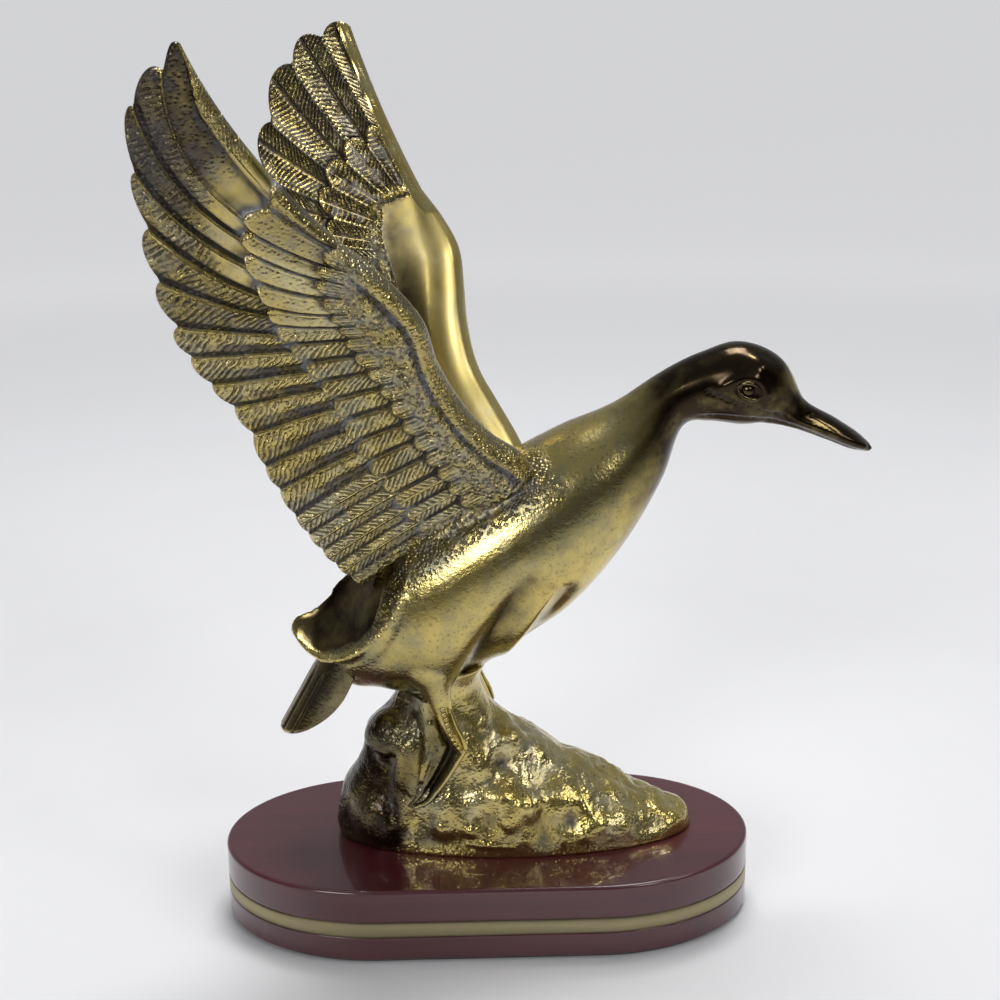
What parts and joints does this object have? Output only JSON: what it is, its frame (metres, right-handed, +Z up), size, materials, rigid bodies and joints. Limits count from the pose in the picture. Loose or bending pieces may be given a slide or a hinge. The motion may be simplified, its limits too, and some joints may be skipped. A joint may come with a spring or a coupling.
{
  "type": "brass duck figure on a wooden plinth",
  "caption": "Cast brass duck with raised feathered wings, perched on a brass rock on an oval lacquered wood plinth with a brass inlay band and a felt underside.",
  "frame": {"origin": "centre of the felt underside, on the surface the figure stands on", "axes": "+X towards the bill along the plinth's length, +Y to the duck's left, +Z up"},
  "size_m": [0.144, 0.0919, 0.1948],
  "materials": {
    "cast_brass": "aged, part polished and part patinated",
    "band_brass": "satin",
    "lacquered_wood": "high-gloss red-brown lacquer",
    "felt": "dark green felt",
    "screw_steel": "zinc plated"
  },
  "bodies": {
    "root": {"body_casting": "cast_brass", "wing_right": "cast_brass", "wing_left": "cast_brass", "tail_fan": "cast_brass", "leg_right": "cast_brass", "leg_left": "cast_brass", "rock_casting": "cast_brass", "plinth_upper": "lacquered_wood", "plinth_lower": "lacquered_wood", "inlay_band": "band_brass", "felt_pad": "felt", "mounting_screws": "screw_steel", "screw_washers": "screw_steel"}
  },
  "joints": []
}
